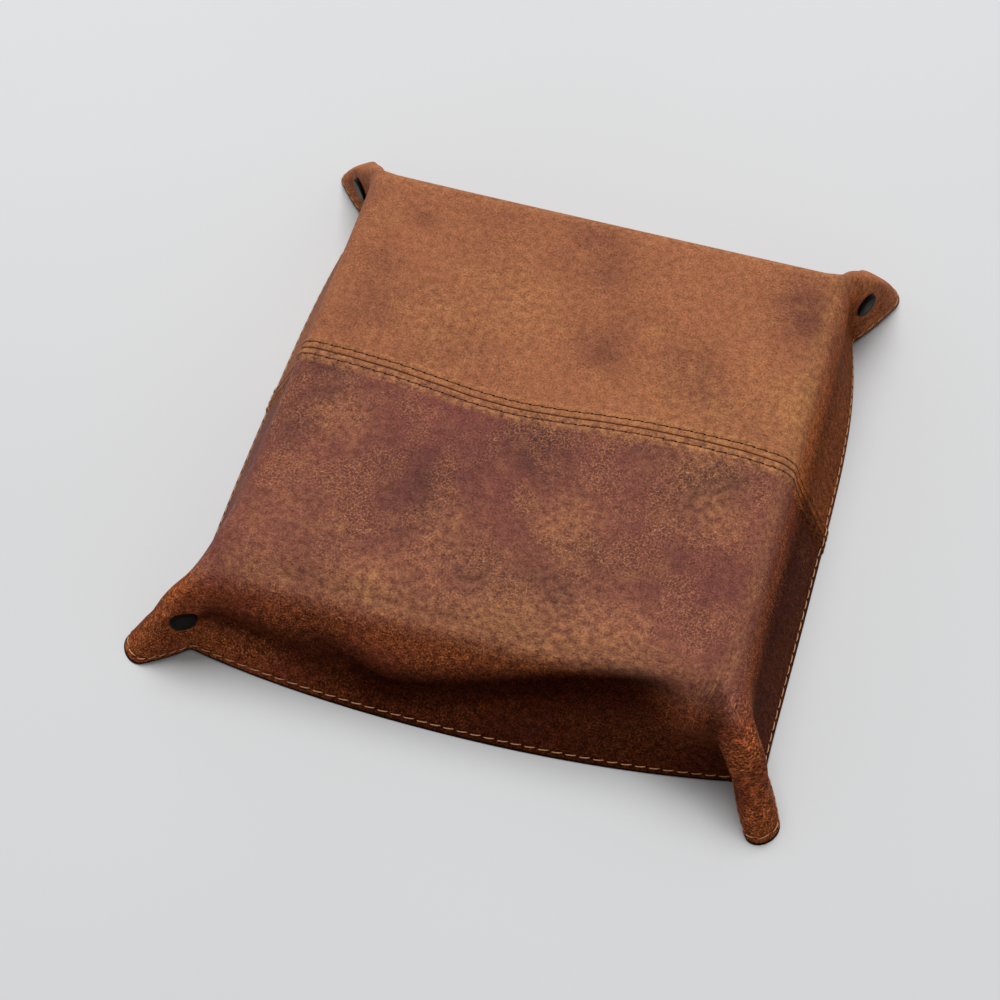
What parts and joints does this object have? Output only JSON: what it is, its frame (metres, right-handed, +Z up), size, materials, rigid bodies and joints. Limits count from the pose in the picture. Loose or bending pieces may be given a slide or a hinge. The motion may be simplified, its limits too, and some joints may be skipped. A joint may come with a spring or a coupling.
{
  "type": "snap-corner leather tray",
  "caption": "Square soft leather catch-all tray, underside up, each corner pinched into an ear that a press stud holds; the ear leaves unsnap and swing open.",
  "frame": {"origin": "middle of the footprint, on the surface that the rim stands on", "axes": "+Z up, out of the flat underside, which is on top; +Y towards the lighter rear panel; +X to the right, along the centre seam"},
  "size_m": [0.2658, 0.2752, 0.0506],
  "materials": {
    "rear_leather": "waxed pull-up leather, tan brown, satin",
    "front_leather": "waxed pull-up leather, dark red brown, finely crackled",
    "lining": "thin dark suede lining",
    "dark_thread": "dark brown waxed sewing thread",
    "tan_thread": "pale tan waxed sewing thread",
    "gunmetal_snap": "dark gunmetal plating, satin"
  },
  "bodies": {
    "tray": {"outer_rear_panel": "rear_leather", "outer_front_panel": "front_leather", "lining": "lining", "seam_stitch_rear": "dark_thread", "seam_stitch_front": "dark_thread", "rim_stitch_front": "tan_thread", "rim_stitch_right": "tan_thread", "rim_stitch_back": "tan_thread", "rim_stitch_left": "tan_thread", "front_left_snap_stud": "gunmetal_snap", "front_left_snap_post": "gunmetal_snap", "front_right_snap_stud": "gunmetal_snap", "front_right_snap_post": "gunmetal_snap", "back_right_snap_stud": "gunmetal_snap", "back_right_snap_post": "gunmetal_snap", "back_left_snap_stud": "gunmetal_snap", "back_left_snap_post": "gunmetal_snap"},
    "front_left_flap": {"front_left_leaf": "front_leather", "front_left_leaf_lining": "lining", "front_left_leaf_stitch": "tan_thread", "front_left_snap_cap": "gunmetal_snap", "front_left_snap_socket": "gunmetal_snap"},
    "front_right_flap": {"front_right_leaf": "front_leather", "front_right_leaf_lining": "lining", "front_right_leaf_stitch": "tan_thread", "front_right_snap_cap": "gunmetal_snap", "front_right_snap_socket": "gunmetal_snap"},
    "back_right_flap": {"back_right_leaf": "rear_leather", "back_right_leaf_lining": "lining", "back_right_leaf_stitch": "tan_thread", "back_right_snap_cap": "gunmetal_snap", "back_right_snap_socket": "gunmetal_snap"},
    "back_left_flap": {"back_left_leaf": "rear_leather", "back_left_leaf_lining": "lining", "back_left_leaf_stitch": "tan_thread", "back_left_snap_cap": "gunmetal_snap", "back_left_snap_socket": "gunmetal_snap"}
  },
  "joints": [
    {"name": "front_left_unsnap", "type": "hinge", "parent": "tray", "child": "front_left_flap", "pos_m": [-0.11875, -0.11784, 0.02185], "axis": [-0.512, -0.3745, -0.7731], "range_deg": [0, 25]},
    {"name": "front_right_unsnap", "type": "hinge", "parent": "tray", "child": "front_right_flap", "pos_m": [0.11901, -0.12268, 0.02114], "axis": [0.3877, -0.5185, -0.7622], "range_deg": [0, 25]},
    {"name": "back_right_unsnap", "type": "hinge", "parent": "tray", "child": "back_right_flap", "pos_m": [0.11724, 0.12313, 0.02279], "axis": [-0.3077, -0.5555, 0.7725], "range_deg": [0, 25]},
    {"name": "back_left_unsnap", "type": "hinge", "parent": "tray", "child": "back_left_flap", "pos_m": [-0.11504, 0.12092, 0.02222], "axis": [-0.4014, 0.5151, -0.7573], "range_deg": [0, 25]}
  ]
}
